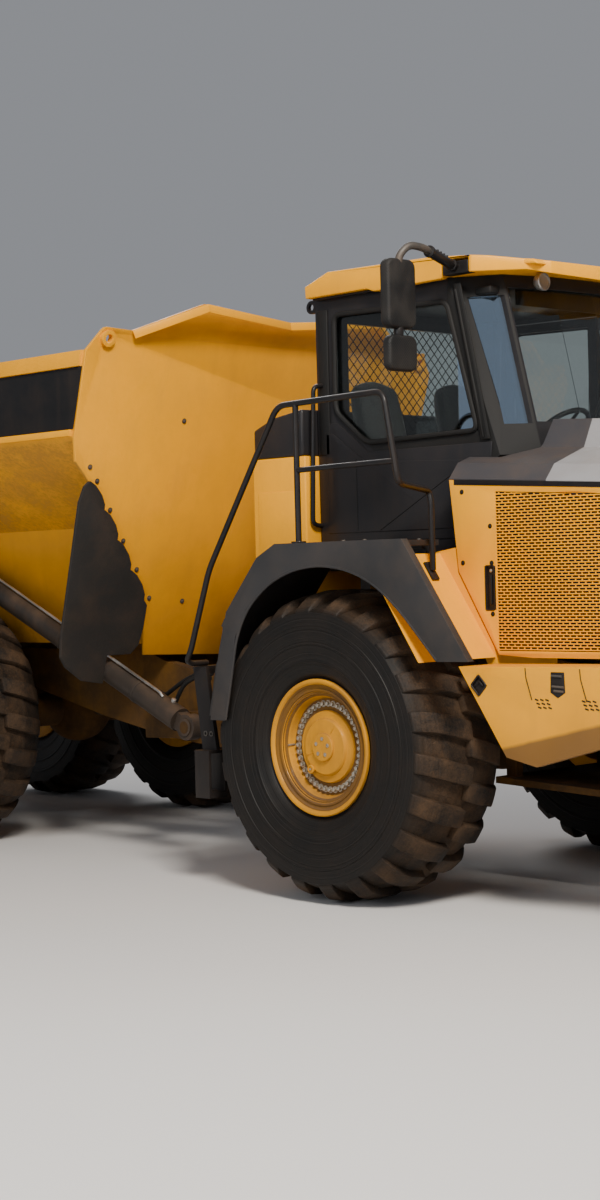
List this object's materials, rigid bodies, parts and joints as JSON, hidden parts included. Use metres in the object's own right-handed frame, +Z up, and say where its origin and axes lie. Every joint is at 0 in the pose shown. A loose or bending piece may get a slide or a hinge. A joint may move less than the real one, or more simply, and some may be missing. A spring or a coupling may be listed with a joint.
{
  "type": "articulated dump truck",
  "caption": "Articulated three-axle dump truck with a centre cab over a sloping hood, an open tipping bin and large lugged tyres.",
  "frame": {"origin": "on the ground under the middle of the truck's length and width", "axes": "+X to the front, +Y to the left, +Z up"},
  "size_m": [10.889, 3.486, 3.847],
  "materials": {
    "yellow_paint": "semi-gloss, dusty",
    "dark_paint": "satin",
    "black_paint": "satin",
    "grey_iron": "rough",
    "rod_chrome": "polished",
    "rubber_sheet": "matt",
    "tyre_rubber": "matt",
    "seat_fabric": "woven",
    "clear_glass": "clear"
  },
  "bodies": {
    "front_frame": {"front_chassis": "yellow_paint", "front_axle": "yellow_paint", "front_suspension": "dark_paint", "engine_block": "grey_iron", "radiator": "dark_paint", "belly_guard": "yellow_paint", "bumper": "yellow_paint", "towing_eyes": "yellow_paint", "headlamps": "clear_glass", "front_panels": "yellow_paint", "mudguards": "dark_paint", "cab_deck": "dark_paint", "access_steps": "dark_paint", "handrails": "black_paint", "cab_shell": "black_paint", "cab_glass": "clear_glass", "cab_roof": "yellow_paint", "work_lamps": "grey_iron", "seats": "seat_fabric", "console": "dark_paint", "steering_wheel": "black_paint", "window_guard": "black_paint", "mirrors": "black_paint", "service_box": "yellow_paint", "air_cowl": "black_paint"},
    "door": {"cab_door": "black_paint", "door_glass": "clear_glass"},
    "hood": {"hood_top": "dark_paint", "hood_sides": "yellow_paint"},
    "hitch": {"hitch_head": "dark_paint"},
    "rear_frame": {"rear_chassis": "yellow_paint", "rear_axles": "yellow_paint", "walking_beams": "dark_paint", "drive_shafts": "dark_paint", "towing_jaw": "yellow_paint"},
    "bin": {"bin_shell": "yellow_paint", "bin_headboard": "yellow_paint", "guard_flaps": "rubber_sheet", "lifting_eyes": "yellow_paint"},
    "hoist_barrel_left": {"hoist_barrel_left": "dark_paint"},
    "hoist_barrel_right": {"hoist_barrel_right": "dark_paint"},
    "hoist_rod_left": {"hoist_rod_left": "rod_chrome"},
    "hoist_rod_right": {"hoist_rod_right": "rod_chrome"},
    "steer_barrel_left": {"steer_barrel_left": "dark_paint"},
    "steer_barrel_right": {"steer_barrel_right": "dark_paint"},
    "steer_rod_left": {"steer_rod_left": "rod_chrome"},
    "steer_rod_right": {"steer_rod_right": "rod_chrome"},
    "front_left_wheel": {"front_left_tyre": "tyre_rubber", "front_left_rim": "yellow_paint"},
    "front_right_wheel": {"front_right_tyre": "tyre_rubber", "front_right_rim": "yellow_paint"},
    "middle_left_wheel": {"middle_left_tyre": "tyre_rubber", "middle_left_rim": "yellow_paint"},
    "middle_right_wheel": {"middle_right_tyre": "tyre_rubber", "middle_right_rim": "yellow_paint"},
    "rear_left_wheel": {"rear_left_tyre": "tyre_rubber", "rear_left_rim": "yellow_paint"},
    "rear_right_wheel": {"rear_right_tyre": "tyre_rubber", "rear_right_rim": "yellow_paint"}
  },
  "joints": [
    {"name": "articulation", "type": "hinge", "parent": "front_frame", "child": "hitch", "pos_m": [0.979, 0, 0.935], "axis": [0, 0, 1], "range_deg": [-42, 42]},
    {"name": "oscillation", "type": "hinge", "parent": "hitch", "child": "rear_frame", "pos_m": [0.5, 0, 0.935], "axis": [1, 0, 0], "range_deg": [-15, 15]},
    {"name": "dump", "type": "hinge", "parent": "rear_frame", "child": "bin", "pos_m": [-4.3, 0, 1.35], "axis": [0, -1, 0], "range_deg": [0, 70]},
    {"name": "hood", "type": "hinge", "parent": "front_frame", "child": "hood", "pos_m": [5.2945, 0, 1.462], "axis": [0, 1, 0], "range_deg": [0, 60]},
    {"name": "door", "type": "hinge", "parent": "front_frame", "child": "door", "pos_m": [1.937, 0.894, 2.8], "axis": [0, 0, 1], "range_deg": [0, 70]},
    {"name": "hoist_swing_left", "type": "hinge", "parent": "rear_frame", "child": "hoist_barrel_left", "pos_m": [0.661, 1.03, 0.932], "axis": [0, 1, 0], "range_deg": [0, 4]},
    {"name": "hoist_stroke_left", "type": "slide", "parent": "hoist_barrel_left", "child": "hoist_rod_left", "axis": [-0.916, 0, 0.4012], "range_m": [0, 2.54]},
    {"name": "steer_swing_left", "type": "hinge", "parent": "front_frame", "child": "steer_barrel_left", "pos_m": [2.129, 0.6, 0.905], "axis": [0, 0, 1], "range_deg": [-1, 1]},
    {"name": "steer_stroke_left", "type": "slide", "parent": "steer_barrel_left", "child": "steer_rod_left", "axis": [-0.9912, -0.1327, 0], "range_m": [-0.31, 0.31]},
    {"name": "hoist_swing_right", "type": "hinge", "parent": "rear_frame", "child": "hoist_barrel_right", "pos_m": [0.661, -1.03, 0.932], "axis": [0, 1, 0], "range_deg": [0, 4]},
    {"name": "hoist_stroke_right", "type": "slide", "parent": "hoist_barrel_right", "child": "hoist_rod_right", "axis": [-0.916, 0, 0.4012], "range_m": [0, 2.54]},
    {"name": "steer_swing_right", "type": "hinge", "parent": "front_frame", "child": "steer_barrel_right", "pos_m": [2.129, -0.6, 0.905], "axis": [0, 0, 1], "range_deg": [-1, 1]},
    {"name": "steer_stroke_right", "type": "slide", "parent": "steer_barrel_right", "child": "steer_rod_right", "axis": [-0.9912, 0.1327, 0], "range_m": [-0.31, 0.31]},
    {"name": "front_left_roll", "type": "hinge", "parent": "front_frame", "child": "front_left_wheel", "pos_m": [2.537, 1.345, 0.925], "axis": [0, 1, 0], "continuous": true},
    {"name": "front_right_roll", "type": "hinge", "parent": "front_frame", "child": "front_right_wheel", "pos_m": [2.537, -1.345, 0.925], "axis": [0, 1, 0], "continuous": true},
    {"name": "middle_left_roll", "type": "hinge", "parent": "rear_frame", "child": "middle_left_wheel", "pos_m": [-1.901, 1.345, 0.925], "axis": [0, 1, 0], "continuous": true},
    {"name": "middle_right_roll", "type": "hinge", "parent": "rear_frame", "child": "middle_right_wheel", "pos_m": [-1.901, -1.345, 0.925], "axis": [0, 1, 0], "continuous": true},
    {"name": "rear_left_roll", "type": "hinge", "parent": "rear_frame", "child": "rear_left_wheel", "pos_m": [-3.851, 1.345, 0.925], "axis": [0, 1, 0], "continuous": true},
    {"name": "rear_right_roll", "type": "hinge", "parent": "rear_frame", "child": "rear_right_wheel", "pos_m": [-3.851, -1.345, 0.925], "axis": [0, 1, 0], "continuous": true}
  ],
  "couplings": [
    {"joint": "hoist_swing_left", "follows": "dump", "ratio": 0.0551},
    {"joint": "hoist_stroke_left", "follows": "dump", "m_per_rad": 2.0731},
    {"joint": "steer_swing_left", "follows": "articulation", "ratio": 0.0168},
    {"joint": "steer_stroke_left", "follows": "articulation", "m_per_rad": 0.4069},
    {"joint": "hoist_swing_right", "follows": "dump", "ratio": 0.0551},
    {"joint": "hoist_stroke_right", "follows": "dump", "m_per_rad": 2.0731},
    {"joint": "steer_swing_right", "follows": "articulation", "ratio": 0.0168},
    {"joint": "steer_stroke_right", "follows": "articulation", "m_per_rad": -0.4069}
  ]
}
